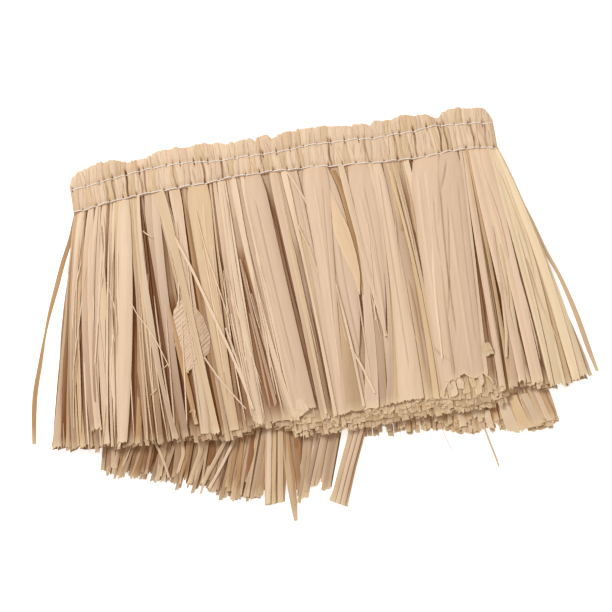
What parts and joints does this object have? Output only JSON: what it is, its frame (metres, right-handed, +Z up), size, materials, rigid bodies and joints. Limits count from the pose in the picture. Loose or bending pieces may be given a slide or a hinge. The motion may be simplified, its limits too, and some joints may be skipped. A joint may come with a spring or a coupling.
{
  "type": "grass skirt",
  "caption": "Short raffia grass skirt laid flat, front on back: a gathered waistband sewn through in two rows over fans of loose raffia strands with chopped, layered hems",
  "frame": {"origin": "the middle of the waistband on the table, under its upper row of stitches, at the flat underside", "axes": "+X along the waistband to the right as seen from the front, +Y from the hem to the waist, +Z up from the table"},
  "size_m": [0.3997, 0.2709, 0.015],
  "materials": {
    "raffia_band": "gathered raffia, satin, sewn through",
    "raffia_front": "flat raffia strands, soft satin with lengthwise fibres",
    "raffia_back": "flat raffia strands, soft satin with lengthwise fibres",
    "raffia_hidden": "packed raffia in shade, matt"
  },
  "bodies": {
    "root": {"waistband_front": "raffia_band", "waistband_back": "raffia_band", "front_fringe_left_over": "raffia_front", "front_fringe_right_over": "raffia_front", "front_fringe_left_under": "raffia_front", "front_fringe_right_under": "raffia_front", "front_bed": "raffia_hidden", "back_fringe": "raffia_back", "back_bed": "raffia_hidden"}
  },
  "joints": []
}
